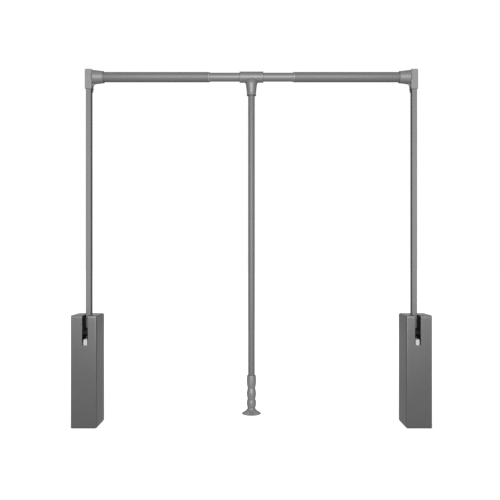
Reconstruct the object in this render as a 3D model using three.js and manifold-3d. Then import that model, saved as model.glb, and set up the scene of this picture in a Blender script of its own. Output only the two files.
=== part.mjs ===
import * as THREE from 'three';
import { mergeVertices } from 'three/addons/utils/BufferGeometryUtils.js';
import Module from 'manifold-3d';

const wasm = await Module();
wasm.setup();

// Pull-down wardrobe rail, in millimetres. X runs from the left wall to the right one,
// Y runs back into the wardrobe and Z runs up from the underside of the two housings.
// Each side is modelled once, as the right one, with X = 0 on the arm's centre plane and
// X growing towards the wall, and is mirrored for the left.

// The whole rail
const wallSpan = 862;
const wallToArm = 34;
const railHeight = 850;
const pivotHeight = 225;
const armSwing = THREE.MathUtils.degToRad(95);
const seatGap = 0.3;
const overrun = 2;

// Swing arm, a rounded rectangular tube
const armWidth = 12.5;
const armDepth = 18;
const armWall = 1.5;
const armCorner = 2;
const armStartAbovePivot = 13;

// Moulded housing cover
const coverWidth = 62;
const coverDepth = 80;
const coverAbovePivot = 45;
const coverWall = 2;
const coverEdge = 4.5;
const coverCornerLand = 1;
const coverRimSetback = 0.4;
const slotSideGap = 0.6;
const slotBackGap = 1.5;
const slotBelowPivot = 26.5;
const slotCorner = 4;
const coverScrewOffset = 5;
const lowerCoverScrewHeight = 60;
const upperCoverScrewDrop = 7;
const coverScrewRadius = 2;
const coverScrewHeadRadius = 3.9;
const coverScrewReach = 1.5;

// Pressed steel chassis inside the cover
const chassisSheet = 2.2;
const chassisSideGap = 0.5;
const chassisEndGap = 4;
const flangeSetback = 2.5;
const flangeFrontInset = 3.5;
const flangeStepBelowBridge = 8;
const flangeLowerFront = 4;
const chassisCorner = 3;
const mountHoleRadius = 2.75;
const mountHoleInset = 12;
const mountHoleEndInset = 16;
const driverHoleRadius = 6;

// Pivot and its spacers
const pivotRadius = 4;
const pivotHeadRadius = 7;
const pivotHeadThickness = 1.9;
const pinEndSetback = 0.4;
const spacerRadius = 7;

// Arm foot: hub, tongue inside the arm tube, and crank tail
const footSlip = 0.25;
const footHubRadius = 9.5;
const tongueHeight = 41;
const rivetRadius = 2.5;
const rivetHeights = [20, 34];
const crankRadius = 22;
const crankEndRadius = 6;
const crankPinRadius = 3;
const crankPinOverhang = 0.6;

// Draw bar: two tines with a slot each, a crosspiece and a threaded rod
const tineThickness = 4;
const tineGap = 0.7;
const tineEdge = 4;
const tineSideGap = 1;
const crankPinPlay = 0.3;
const crossTopBelowPin = 13.4;
const crossThickness = 7;
const crossFrontSetback = 4.5;
const crossDepth = 12.5;
const rodRadius = 4;
const rodOffset = 20;
const rodTail = 5.8;

// Lift spring, its bridge, washer and nut
const bridgeThickness = 3;
const bridgeDepth = 24;
const bridgeTabDepth = 16;
const rodPlay = 0.5;
const stopWasherThickness = 3;
const stopWasherRadius = 8;
const springSeatHeight = 43.5;
const springMeanRadius = 10.5;
const springWire = 3;
const springTurns = 14;
const springWasherRadius = 13;
const springWasherThickness = 3;
const nutAcrossFlats = 13;
const nutThickness = 6.5;

// Nylon buffer that the lowered arm lands on
const bufferWidth = 9.2;
const bufferFront = 36.8;
const bufferDepth = 17.5;
const bufferFloorDrop = 33;
const bufferLandingGap = 0.4;
const bufferCorner = 1.5;
const bufferPinRadius = 2.5;
const bufferPinOffset = 28;
const bufferPinDrop = 22;

// Elbow casting
const elbowWidth = 17;
const elbowDepth = 20;
const elbowAboveRail = 17.9;
const elbowBelowRail = 30.7;
const elbowTopCorner = 3;
const elbowEdge = 2;
const collarRootRadius = 17;
const collarMouthRadius = 14.6;
const collarShoulder = 1.5;
const collarMouthInset = 36;
const collarLip = 0.8;
const socketDepth = 25;
const gussetReach = 12;
const gussetDrop = 14;
const gussetThickness = 6;
const plugLength = 28.5;
const elbowScrewDrop = 4.6;
const elbowScrewRadius = 1.7;
const elbowScrewHeadRadius = 2.8;
const elbowScrewHeadHeight = 3.4;
const elbowScrewReach = 5;

// Telescopic hanging rail
const outerRailRadius = 12.1;
const innerRailRadius = 10.5;
const railWall = 1.2;
const innerRailHalf = 310;
const outerRailEnd = 107;
const endRingLength = 6;
const endRingTipRadius = 11.3;

// T connector and its bushes
const teeHalf = 29;
const teeRadius = 13.2;
const teeEdge = 1;
const locatingHalf = 6;
const bushWall = 1;
const stemDrop = 45.3;
const stemRootDrop = 13.6;
const stemRootRadius = 13.2;
const stemFillet = 3;
const stemWaistRadius = 10.7;
const stemLipRadius = 11.3;
const stemLipHeight = 5;
const rodInStem = 24;
const handleScrewDrop = 34;
const handleScrewRadius = 1.7;
const handleScrewHeadRadius = 3;
const handleScrewHeadHeight = 2;

// Pull rod and grip
const pullRodRadius = 8;
const pullRodWall = 1.2;
const gripTop = 120.7;
const gripBottom = 26;
const gripRadius = 11.05;
const gripNeckRadius = 9.15;
const gripFootRadius = 23.1;
const gripSocketDepth = 24;
// Shares of the grip's length from its foot, and how full it is there, from neck to swell
const gripSwellShares = [
  [0.161, 0], [0.215, 0.62], [0.282, 1], [0.354, 0.62], [0.415, 0], [0.472, 0.55], [0.543, 1],
  [0.615, 0.6], [0.672, 0], [0.728, 0.55], [0.795, 0.97], [0.867, 1], [0.938, 0.85],
];
// Shares of the foot's rise from its flat underside to the lowest neck, and of its spread
const gripFootShares = [
  [0, 0.86], [0.04, 0.97], [0.12, 1], [0.17, 0.95], [0.28, 0.75], [0.45, 0.48], [0.64, 0.22], [0.82, 0.06],
];

// Facets
const fineSides = 28;
const tubeSides = 24;
const boreSides = 20;
const pinSides = 14;
const coilSteps = 8;
const coilSides = 5;
const arcSteps = 3;

// Sizes that follow from the ones above
const armAxis = wallSpan / 2 - wallToArm;
const coverHeight = pivotHeight + coverAbovePivot;
const slotFloor = pivotHeight - slotBelowPivot;
const coverScrewHeights = [lowerCoverScrewHeight, pivotHeight - upperCoverScrewDrop];
const bufferFloor = pivotHeight - bufferFloorDrop;
const bufferPinHeight = pivotHeight - bufferPinDrop;
const coverInner = -(coverWidth - wallToArm);
const coverRim = wallToArm - coverRimSetback;
const coverFront = -coverDepth / 2;
const slotHalf = armWidth / 2 + slotSideGap;
const slotBack = armDepth / 2 + slotBackGap;
const plateInner = wallToArm - chassisSheet;
const chassisFront = coverFront + coverWall + chassisSideGap;
const chassisBack = -chassisFront;
const chassisBottom = coverWall + chassisEndGap;
const chassisTop = coverHeight - coverWall - chassisEndGap;
const flangeOuter = coverInner + coverWall + flangeSetback;
const flangeInner = flangeOuter + chassisSheet;
const footHalf = armWidth / 2 - armWall - footSlip;
const tongueHalf = armDepth / 2 - armWall - footSlip;
const halfSwing = armSwing / 2;
const crankY = crankRadius * Math.cos(halfSwing);
const crankZ = -crankRadius * Math.sin(halfSwing);
const swingRate = Math.sin(halfSwing) / halfSwing;
const worstSwing = Math.acos(swingRate);
const slotRise = crankRadius * (Math.sin(worstSwing) - swingRate * worstSwing);
const tineSlotHalf = crankPinRadius + slotRise + crankPinPlay;
const tineSlotFront = crankY - crankPinRadius - crankPinPlay;
const tineSlotBack = crankRadius + crankPinRadius + crankPinPlay;
const tineInner = footHalf + tineGap;
const tineOuter = tineInner + tineThickness;
const tineFront = spacerRadius + tineSideGap;
const tineBack = tineSlotBack + tineEdge;
const crankRestHeight = pivotHeight + crankZ;
const crossTop = crankRestHeight - crossTopBelowPin;
const crossBottom = crossTop - crossThickness;
const bridgeTop = crossBottom - stopWasherThickness - 2 * seatGap;
const bridgeBottom = bridgeTop - bridgeThickness;
const springTop = bridgeBottom - seatGap;
const springBottom = springSeatHeight;
const springLength = springTop - springBottom;
const springWasherTop = springBottom - seatGap;
const springWasherBottom = springWasherTop - springWasherThickness;
const nutTop = springWasherBottom - seatGap;
const nutBottom = nutTop - nutThickness;
const elbowBottom = railHeight - elbowBelowRail;
const armTop = elbowBottom - seatGap;
const socketRadius = outerRailRadius + seatGap;
const socketFloor = -(collarMouthInset - socketDepth);
const bushInner = innerRailRadius + seatGap;
const bushOuter = bushInner + bushWall;
const teeBore = bushOuter + seatGap;
const pullRodTop = railHeight - stemDrop + rodInStem;
const pullRodBottom = gripTop - gripSocketDepth;

// Solids and booleans

function facingOut(geometry) {
  const place = geometry.attributes.position;
  const corners = geometry.index.array;
  const [a, b, c] = [new THREE.Vector3(), new THREE.Vector3(), new THREE.Vector3()];
  let volume = 0;
  for (let i = 0; i < corners.length; i += 3) {
    a.fromBufferAttribute(place, corners[i]);
    b.fromBufferAttribute(place, corners[i + 1]);
    c.fromBufferAttribute(place, corners[i + 2]);
    volume += a.dot(b.cross(c));
  }
  if (volume < 0) {
    for (let i = 0; i < corners.length; i += 3) {
      [corners[i], corners[i + 1]] = [corners[i + 1], corners[i]];
    }
  }
  return geometry;
}

function welded(geometry) {
  geometry.deleteAttribute('normal');
  geometry.deleteAttribute('uv');
  const merged = mergeVertices(geometry);
  const kept = [];
  for (let i = 0; i < merged.index.count; i += 3) {
    const [a, b, c] = merged.index.array.slice(i, i + 3);
    if (a !== b && b !== c && c !== a) kept.push(a, b, c);
  }
  merged.setIndex(kept);
  return facingOut(merged);
}

function solidOf(geometry) {
  const vertProperties = new Float32Array(geometry.attributes.position.array);
  const triVerts = new Uint32Array(geometry.index.array);
  return new wasm.Manifold(new wasm.Mesh({ numProp: 3, vertProperties, triVerts }));
}

function geometryOf(solid) {
  const mesh = solid.getMesh();
  const geometry = new THREE.BufferGeometry();
  geometry.setAttribute('position', new THREE.BufferAttribute(mesh.vertProperties, 3));
  geometry.setIndex(new THREE.BufferAttribute(mesh.triVerts, 1));
  return geometry;
}

function join(first, ...others) {
  return geometryOf(others.reduce((whole, other) => whole.add(solidOf(other)), solidOf(first)));
}

function cut(first, ...tools) {
  return geometryOf(tools.reduce((whole, tool) => whole.subtract(solidOf(tool)), solidOf(first)));
}

function mirrored(geometry) {
  return facingOut(geometry.clone().scale(-1, 1, 1));
}

const xAxis = new THREE.Vector3(1, 0, 0);
const yAxis = new THREE.Vector3(0, 1, 0);
const zAxis = new THREE.Vector3(0, 0, 1);

// An outline with Y across and Z up, solid from one X to another
function alongX(outline, from, to) {
  const geometry = new THREE.ExtrudeGeometry(outline, {
    depth: to - from, bevelEnabled: false, curveSegments: arcSteps,
  });
  geometry.applyMatrix4(new THREE.Matrix4().makeBasis(yAxis, zAxis, xAxis));
  return welded(geometry.translate(from, 0, 0));
}

// An outline with X across and Z up, solid from one Y to another, its end edges rounded by edge
function alongY(outline, from, to, edge = 0) {
  const geometry = new THREE.ExtrudeGeometry(outline, {
    depth: to - from - 2 * edge, curveSegments: arcSteps,
    bevelEnabled: edge > 0, bevelThickness: edge, bevelSize: edge, bevelOffset: -edge, bevelSegments: 2,
  });
  geometry.applyMatrix4(new THREE.Matrix4().makeBasis(xAxis, zAxis, yAxis.clone().negate()));
  return welded(geometry.translate(0, to - edge, 0));
}

// An outline with X across and Y deep, solid from one Z to another, its end edges rounded by edge
function alongZ(outline, from, to, edge = 0) {
  const geometry = new THREE.ExtrudeGeometry(outline, {
    depth: to - from - 2 * edge, curveSegments: arcSteps,
    bevelEnabled: edge > 0, bevelThickness: edge, bevelSize: edge, bevelOffset: -edge, bevelSegments: 2,
  });
  return welded(geometry.translate(0, 0, from + edge));
}

// A profile of [radius, place along the axis] points turned about X, Y or Z
function turned(profile, axis, sides = tubeSides) {
  const geometry = new THREE.LatheGeometry(profile.map(([r, h]) => new THREE.Vector2(r, h)), sides);
  if (axis === 'x') geometry.rotateZ(-Math.PI / 2);
  if (axis === 'z') geometry.rotateX(Math.PI / 2);
  return welded(geometry);
}

function rod(radius, from, to, axis, sides = pinSides) {
  return turned([[0, from], [radius, from], [radius, to], [0, to]], axis, sides);
}

function ring(inner, outer, from, to, axis, sides = tubeSides) {
  return turned([[inner, from], [outer, from], [outer, to], [inner, to], [inner, from]], axis, sides);
}

// A rectangle whose corners, from the lowest left one round to the left, have their own radii
function rectangle(left, low, right, high, radii = [0, 0, 0, 0]) {
  const outline = new THREE.Shape();
  const centres = [
    [left + radii[0], low + radii[0]], [right - radii[1], low + radii[1]],
    [right - radii[2], high - radii[2]], [left + radii[3], high - radii[3]],
  ];
  centres.forEach(([x, y], corner) => {
    const turn = Math.PI + corner * Math.PI / 2;
    if (radii[corner] > 0) outline.absarc(x, y, radii[corner], turn, turn + Math.PI / 2, false);
    else if (corner === 0) outline.moveTo(x, y);
    else outline.lineTo(x, y);
  });
  outline.closePath();
  return outline;
}

// Two discs and the straight tangents that join them
function linkOutline(ax, ay, aRadius, bx, by, bRadius) {
  const heading = Math.atan2(by - ay, bx - ax);
  const lean = Math.acos((aRadius - bRadius) / Math.hypot(bx - ax, by - ay));
  const outline = new THREE.Shape();
  outline.absarc(ax, ay, aRadius, heading + lean, heading - lean + 2 * Math.PI, false);
  outline.absarc(bx, by, bRadius, heading - lean, heading + lean, false);
  outline.closePath();
  return outline;
}

function polygon(points) {
  return new THREE.Shape(points.map(([x, y]) => new THREE.Vector2(x, y)));
}

// Housing pieces

function coverGeometry() {
  const past = wallToArm + coverEdge + overrun;
  const corner = coverEdge + coverCornerLand;
  const innerEdge = Math.max(coverEdge - coverWall, seatGap);
  const innerCorner = innerEdge + coverCornerLand;
  const outside = alongZ(
    rectangle(coverInner, coverFront, past, -coverFront, [corner, 0, 0, corner]), 0, coverHeight, coverEdge);
  const inside = alongZ(
    rectangle(coverInner + coverWall, coverFront + coverWall, past + overrun, -coverFront - coverWall,
      [innerCorner, 0, 0, innerCorner]),
    coverWall, coverHeight - coverWall, innerEdge);
  const wallSide = alongZ(
    rectangle(coverRim, coverFront - overrun, past + 2 * overrun, -coverFront + overrun),
    -overrun, coverHeight + overrun);
  const slot = alongY(
    rectangle(-slotHalf, slotFloor, slotHalf, coverHeight + overrun, [slotCorner, slotCorner, 0, 0]),
    coverFront - overrun, slotBack);
  const sinks = coverScrewHeights.map((height) => countersink(height));
  return cut(outside, inside, wallSide, slot, ...sinks);
}

function countersink(height) {
  const face = coverDepth / 2;
  const hole = coverScrewRadius + seatGap;
  const mouth = coverScrewHeadRadius + seatGap;
  const profile = [[0, face - coverWall - overrun], [hole, face - coverWall - overrun],
    [hole, face - coverWall + seatGap], [mouth, face], [mouth, face + overrun], [0, face + overrun]];
  return turned(profile, 'y', pinSides).translate(coverScrewOffset, 0, height);
}

function coverScrewGeometry(height) {
  const face = coverDepth / 2 - seatGap / 2;
  const tip = chassisBack - chassisSheet - coverScrewReach;
  const profile = [[0, tip], [coverScrewRadius, tip], [coverScrewRadius, face - coverWall + seatGap],
    [coverScrewHeadRadius, face], [0, face]];
  return turned(profile, 'y', pinSides).translate(coverScrewOffset, 0, height);
}

function chassisGeometry() {
  const flangeFront = chassisFront + flangeFrontInset;
  const channel = alongZ(polygon([
    [wallToArm, chassisFront], [wallToArm, chassisBack], [flangeOuter, chassisBack],
    [flangeOuter, flangeFront], [flangeInner, flangeFront], [flangeInner, chassisBack - chassisSheet],
    [plateInner, chassisBack - chassisSheet], [plateInner, chassisFront],
  ]), chassisBottom, chassisTop);
  const step = alongX(
    rectangle(chassisFront, chassisBottom - overrun, flangeLowerFront, bridgeBottom - flangeStepBelowBridge,
      [0, 0, chassisCorner, 0]),
    flangeOuter - overrun, flangeInner + overrun);
  const through = [flangeOuter - overrun, wallToArm + overrun];
  const pivot = rod(pivotRadius + seatGap, ...through, 'x').translate(0, 0, pivotHeight);
  const bufferPin = rod(bufferPinRadius + seatGap, ...through, 'x')
    .translate(0, -bufferPinOffset, bufferPinHeight);
  const tabSlot = alongX(
    rectangle(rodOffset - bridgeTabDepth / 2 - seatGap, bridgeBottom - seatGap,
      rodOffset + bridgeTabDepth / 2 + seatGap, bridgeTop + seatGap), ...through);
  const front = chassisFront + mountHoleInset;
  const high = chassisTop - mountHoleEndInset;
  const low = chassisBottom + mountHoleEndInset;
  const mountHoles = [[front, low], [-front, low], [front, high], [-front, high]].map(([y, z]) => rod(
    mountHoleRadius, plateInner - overrun, wallToArm + overrun, 'x', boreSides).translate(0, y, z));
  const driverHoles = [[-front, low], [front, high], [-front, high]].map(([y, z]) => rod(
    driverHoleRadius, flangeOuter - overrun, flangeInner + overrun, 'x').translate(0, y, z));
  const screwHoles = coverScrewHeights.map((height) => rod(coverScrewRadius + seatGap,
    chassisBack - chassisSheet - overrun, chassisBack + overrun, 'y').translate(coverScrewOffset, 0, height));
  return cut(channel, step, pivot, bufferPin, tabSlot, ...mountHoles, ...driverHoles, ...screwHoles);
}

function pivotPinGeometry() {
  const headEnd = flangeOuter - seatGap;
  return turned([
    [0, headEnd - pivotHeadThickness], [pivotHeadRadius, headEnd - pivotHeadThickness],
    [pivotHeadRadius, headEnd], [pivotRadius, headEnd], [pivotRadius, wallToArm - pinEndSetback],
    [0, wallToArm - pinEndSetback],
  ], 'x', boreSides).translate(0, 0, pivotHeight);
}

function spacerGeometry(from, to) {
  return ring(pivotRadius + seatGap, spacerRadius, from, to, 'x', boreSides).translate(0, 0, pivotHeight);
}

function bridgeGeometry() {
  const plate = alongZ(
    rectangle(flangeInner + seatGap, rodOffset - bridgeDepth / 2, plateInner - seatGap,
      rodOffset + bridgeDepth / 2), bridgeBottom, bridgeTop);
  const tabs = alongZ(
    rectangle(flangeOuter, rodOffset - bridgeTabDepth / 2, wallToArm - seatGap, rodOffset + bridgeTabDepth / 2),
    bridgeBottom, bridgeTop);
  const hole = rod(rodRadius + rodPlay, bridgeBottom - overrun, bridgeTop + overrun, 'z')
    .translate(0, rodOffset, 0);
  return cut(join(plate, tabs), hole);
}

// Underside of the lowered arm at a place in front of the pivot
function loweredUnderside(y) {
  const tilt = armSwing - Math.PI / 2;
  return pivotHeight - armDepth / 2 / Math.cos(tilt) + y * Math.tan(tilt);
}

function bufferGeometry() {
  const back = bufferDepth - bufferFront;
  const block = alongX(polygon([
    [-bufferFront + bufferCorner, bufferFloor], [back, bufferFloor],
    [back, loweredUnderside(back) - bufferLandingGap],
    [-bufferFront + bufferCorner, loweredUnderside(-bufferFront + bufferCorner) - bufferLandingGap],
    [-bufferFront, loweredUnderside(-bufferFront) - bufferLandingGap - bufferCorner],
    [-bufferFront, bufferFloor + bufferCorner],
  ]), -bufferWidth / 2, bufferWidth / 2);
  const hole = rod(bufferPinRadius + seatGap, -bufferWidth, bufferWidth, 'x')
    .translate(0, -bufferPinOffset, bufferPinHeight);
  return cut(block, hole);
}

// Lifting mechanism

function drawBarGeometry() {
  const tine = (from, to) => cut(
    alongX(rectangle(tineFront, crossBottom, tineBack, crankRestHeight + tineSlotHalf + tineEdge,
      [0, tineEdge, tineEdge, tineEdge]), from, to),
    alongX(rectangle(tineSlotFront, crankRestHeight - tineSlotHalf, tineSlotBack, crankRestHeight + tineSlotHalf,
      [crankPinRadius, crankPinRadius, crankPinRadius, crankPinRadius]), from - overrun, to + overrun));
  const crossFront = rodOffset - crossFrontSetback;
  const crosspiece = alongX(rectangle(crossFront, crossBottom, crossFront + crossDepth, crossTop),
    -tineInner - tineThickness / 2, tineInner + tineThickness / 2);
  const stalk = rod(rodRadius, nutBottom - rodTail, crossBottom + crossThickness / 2, 'z')
    .translate(0, rodOffset, 0);
  return join(tine(tineInner, tineOuter), tine(-tineOuter, -tineInner), crosspiece, stalk);
}

function springGeometry() {
  const steps = springTurns * coilSteps;
  const rise = springLength - springWire;
  const corners = [];
  const faces = [];
  const slope = rise / (springTurns * 2 * Math.PI * springMeanRadius);
  for (let step = 0; step <= steps; step += 1) {
    const turn = step / coilSteps * 2 * Math.PI;
    const outward = new THREE.Vector3(Math.cos(turn), Math.sin(turn), 0);
    const forward = new THREE.Vector3(-Math.sin(turn), Math.cos(turn), slope).normalize();
    const across = new THREE.Vector3().crossVectors(forward, outward);
    for (let side = 0; side < coilSides; side += 1) {
      const round = side / coilSides * 2 * Math.PI;
      const point = outward.clone().multiplyScalar(springMeanRadius + springWire / 2 * Math.cos(round))
        .addScaledVector(across, springWire / 2 * Math.sin(round));
      corners.push(point.x, point.y + rodOffset, point.z + springBottom + springWire / 2 + step / steps * rise);
    }
  }
  for (let step = 0; step < steps; step += 1) {
    for (let side = 0; side < coilSides; side += 1) {
      const a = step * coilSides + side;
      const b = step * coilSides + (side + 1) % coilSides;
      faces.push(a, b, a + coilSides, b, b + coilSides, a + coilSides);
    }
  }
  for (let side = 1; side < coilSides - 1; side += 1) {
    const last = steps * coilSides;
    faces.push(0, side + 1, side, last, last + side, last + side + 1);
  }
  const geometry = new THREE.BufferGeometry();
  geometry.setAttribute('position', new THREE.Float32BufferAttribute(corners, 3));
  geometry.setIndex(faces);
  return facingOut(geometry);
}

// Least distance between the coil's own turns, measured on its points
function springSelfGap(geometry) {
  const place = geometry.attributes.position;
  const perTurn = coilSteps * coilSides;
  let least = Infinity;
  for (let i = 0; i < place.count; i += 1) {
    for (let j = i + perTurn - coilSides * 2; j < Math.min(place.count, i + perTurn + coilSides * 2); j += 1) {
      const gap = Math.hypot(place.getX(i) - place.getX(j), place.getY(i) - place.getY(j),
        place.getZ(i) - place.getZ(j));
      least = Math.min(least, gap);
    }
  }
  return least;
}

function washerGeometry(radius, low, high) {
  return ring(rodRadius + seatGap, radius, low, high, 'z', boreSides).translate(0, rodOffset, 0);
}

function nutGeometry() {
  const hexagon = new THREE.Shape();
  const corner = nutAcrossFlats / 2 / Math.cos(Math.PI / 6);
  for (let side = 0; side < 6; side += 1) {
    const turn = side * Math.PI / 3;
    if (side === 0) hexagon.moveTo(corner, 0);
    else hexagon.lineTo(corner * Math.cos(turn), corner * Math.sin(turn));
  }
  hexagon.closePath();
  const hole = rod(rodRadius + seatGap, nutBottom - overrun, nutTop + overrun, 'z');
  return cut(alongZ(hexagon, nutBottom, nutTop), hole).translate(0, rodOffset, 0);
}

// Arm pieces, with Z measured from the pivot

function footGeometry() {
  const link = alongX(linkOutline(0, 0, footHubRadius, crankY, crankZ, crankEndRadius), -footHalf, footHalf);
  const tongue = alongX(rectangle(-tongueHalf, 0, tongueHalf, tongueHeight), -footHalf, footHalf);
  const through = [-footHalf - overrun, footHalf + overrun];
  const holes = [
    rod(pivotRadius + seatGap, ...through, 'x'),
    rod(crankPinRadius + seatGap, ...through, 'x').translate(0, crankY, crankZ),
    ...rivetHeights.map((height) => rod(rivetRadius + seatGap, ...through, 'x').translate(0, 0, height)),
  ];
  return cut(join(link, tongue), ...holes);
}

function crankPinGeometry() {
  return rod(crankPinRadius, -tineOuter - crankPinOverhang, tineOuter + crankPinOverhang, 'x', pinSides)
    .translate(0, crankY, crankZ);
}

function armTubeGeometry() {
  const radii = (radius) => [radius, radius, radius, radius];
  const section = rectangle(-armWidth / 2, -armDepth / 2, armWidth / 2, armDepth / 2, radii(armCorner));
  const bore = rectangle(-armWidth / 2 + armWall, -armDepth / 2 + armWall, armWidth / 2 - armWall,
    armDepth / 2 - armWall, radii(Math.max(armCorner - armWall, seatGap)));
  section.holes.push(bore);
  const tube = alongZ(section, armStartAbovePivot, armTop - pivotHeight);
  const rivetHoles = rivetHeights.map((height) => rod(rivetRadius + seatGap, -armWidth, armWidth, 'x')
    .translate(0, 0, height));
  const screwHole = rod(elbowScrewRadius + seatGap, -armWidth, 0, 'x')
    .translate(0, 0, elbowBottom - elbowScrewDrop - pivotHeight);
  return cut(tube, ...rivetHoles, screwHole);
}

// Elbow pieces, with Z measured from the rail's axis

function elbowGeometry() {
  const half = elbowWidth / 2;
  const block = alongY(
    rectangle(-half, -elbowBelowRail, half, elbowAboveRail, [elbowEdge * 2, elbowEdge * 2, elbowTopCorner,
      elbowTopCorner]),
    -elbowDepth / 2, elbowDepth / 2, elbowEdge);
  const collar = turned([
    [0, -collarMouthInset], [collarMouthRadius - collarLip, -collarMouthInset],
    [collarMouthRadius, -collarMouthInset + collarLip], [collarRootRadius, -half - collarShoulder],
    [collarRootRadius - collarShoulder, -half], [elbowDepth / 2 - collarLip, -half + collarLip],
    [0, -half + collarLip],
  ], 'x', fineSides);
  const gusset = alongY(polygon([
    [-elbowEdge * 2, -elbowBelowRail + elbowEdge], [-elbowEdge * 2, 0], [-half - gussetReach, 0],
    [-half - gussetReach, -elbowBelowRail + elbowEdge + gussetDrop],
    [-half - gussetReach / 3, -elbowBelowRail + elbowEdge + gussetDrop * 2 / 3],
    [-half, -elbowBelowRail + elbowEdge],
  ]), -gussetThickness / 2, gussetThickness / 2);
  const plug = alongZ(rectangle(-footHalf, -tongueHalf, footHalf, tongueHalf),
    -elbowBelowRail - plugLength, -elbowBelowRail + elbowDepth / 2);
  const socket = rod(socketRadius, -collarMouthInset - overrun, socketFloor, 'x', tubeSides);
  const screwHole = rod(elbowScrewRadius + seatGap, -armWidth, -armWidth / 2 + elbowScrewReach + seatGap, 'x')
    .translate(0, 0, -elbowBelowRail - elbowScrewDrop);
  return cut(join(block, collar, gusset, plug), socket, screwHole);
}

function elbowScrewGeometry() {
  const seat = -armWidth / 2 - seatGap;
  const tip = -armWidth / 2 + elbowScrewReach;
  return turned([
    [0, seat - elbowScrewHeadHeight], [elbowScrewHeadRadius - seatGap, seat - elbowScrewHeadHeight],
    [elbowScrewHeadRadius, seat - elbowScrewHeadHeight / 2], [elbowScrewHeadRadius, seat],
    [elbowScrewRadius, seat], [elbowScrewRadius, tip], [0, tip],
  ], 'x', pinSides).translate(0, 0, -elbowBelowRail - elbowScrewDrop);
}

function outerRailGeometry() {
  return ring(outerRailRadius - railWall, outerRailRadius, outerRailEnd - armAxis, socketFloor - seatGap, 'x');
}

function endRingGeometry() {
  const seat = outerRailEnd - armAxis - seatGap;
  return turned([
    [innerRailRadius + seatGap, seat], [innerRailRadius + seatGap, seat - endRingLength],
    [endRingTipRadius, seat - endRingLength], [outerRailRadius, seat - endRingLength / 2],
    [outerRailRadius, seat], [innerRailRadius + seatGap, seat],
  ], 'x');
}

// Handle pieces, with Z measured from the rail's axis

function teeGeometry() {
  const body = turned([
    [0, -teeHalf], [teeRadius - teeEdge, -teeHalf], [teeRadius, -teeHalf + teeEdge],
    [teeRadius, teeHalf - teeEdge], [teeRadius - teeEdge, teeHalf], [0, teeHalf],
  ], 'x', fineSides);
  const lipTop = -stemDrop + stemLipHeight;
  const stem = turned([
    [0, -stemDrop], [stemLipRadius - teeEdge, -stemDrop], [stemLipRadius, -stemDrop + teeEdge],
    [stemLipRadius, lipTop - teeEdge], [stemWaistRadius, lipTop], [stemRootRadius, -stemRootDrop - stemFillet],
    [stemRootRadius + stemFillet / 3, -stemRootDrop - stemFillet / 3],
    [stemRootRadius + stemFillet, -stemRootDrop + stemFillet / 3], [stemRootRadius, -stemRootDrop / 2],
    [0, -stemRootDrop / 2],
  ], 'z');
  const railBore = rod(teeBore, -teeHalf - overrun, teeHalf + overrun, 'x', tubeSides);
  const rodBore = rod(pullRodRadius + seatGap, -stemDrop - overrun, -stemDrop + rodInStem + seatGap, 'z', boreSides);
  const screwHole = rod(handleScrewRadius + seatGap, 0, stemRootRadius + overrun, 'y')
    .translate(0, 0, -handleScrewDrop);
  return cut(join(body, stem), railBore, rodBore, screwHole);
}

function handleScrewGeometry() {
  const seat = stemRootRadius - seatGap;
  const tip = pullRodRadius - pullRodWall;
  return turned([
    [0, tip], [handleScrewRadius, tip], [handleScrewRadius, seat], [handleScrewHeadRadius, seat],
    [handleScrewHeadRadius, seat + handleScrewHeadHeight / 2],
    [handleScrewHeadRadius - seatGap, seat + handleScrewHeadHeight], [0, seat + handleScrewHeadHeight],
  ], 'y', pinSides).translate(0, 0, -handleScrewDrop);
}

function pullRodGeometry() {
  const tube = ring(pullRodRadius - pullRodWall, pullRodRadius, pullRodBottom - railHeight,
    pullRodTop - railHeight, 'z', tubeSides);
  const screwHole = rod(handleScrewRadius + seatGap, 0, stemRootRadius, 'y').translate(0, 0, -handleScrewDrop);
  return cut(tube, screwHole);
}

function gripGeometry() {
  const length = gripTop - gripBottom;
  const lowest = gripBottom + gripSwellShares[0][0] * length;
  const foot = gripFootShares.map(([rise, spread]) => [
    gripNeckRadius + (gripFootRadius - gripNeckRadius) * spread, gripBottom + (lowest - gripBottom) * rise]);
  const swells = gripSwellShares.map(([along, full]) => [
    gripNeckRadius + (gripRadius - gripNeckRadius) * full, gripBottom + along * length]);
  const socket = pullRodRadius + seatGap;
  const socketEnd = pullRodBottom - seatGap;
  const rim = (socket + gripRadius) / 2;
  return turned([
    [0, gripBottom], ...foot, ...swells, [rim, gripTop], [socket, gripTop], [socket, socketEnd], [0, socketEnd],
  ], 'z').translate(0, 0, -railHeight);
}

// Finishes

const finishes = {
  shell: { color: 0x6e6e6e, roughness: 0.55, metalness: 0.1 },
  tube: { color: 0x9a9a9a, roughness: 0.35, metalness: 0.6 },
  rail: { color: 0xb6b6b6, roughness: 0.25, metalness: 0.8 },
  casting: { color: 0xa8a8a8, roughness: 0.4, metalness: 0.5 },
  grip: { color: 0x8c8c8c, roughness: 0.5, metalness: 0.1 },
  steel: { color: 0xb0b0b0, roughness: 0.4, metalness: 0.9 },
  dipCoat: { color: 0x3a3a3a, roughness: 0.5, metalness: 0.2 },
  spring: { color: 0x8f8f8f, roughness: 0.35, metalness: 0.9 },
  nylon: { color: 0xe6e6e4, roughness: 0.5, metalness: 0 },
  bush: { color: 0x3a3a3a, roughness: 0.5, metalness: 0 },
  rubber: { color: 0x202020, roughness: 0.8, metalness: 0 },
  screw: { color: 0x4c4c4c, roughness: 0.4, metalness: 0.8 },
};

function add(group, name, geometry, finish) {
  const mesh = new THREE.Mesh(geometry, new THREE.MeshStandardMaterial({ ...finishes[finish], flatShading: true }));
  mesh.name = name;
  group.add(mesh);
}

// The assembly

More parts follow.
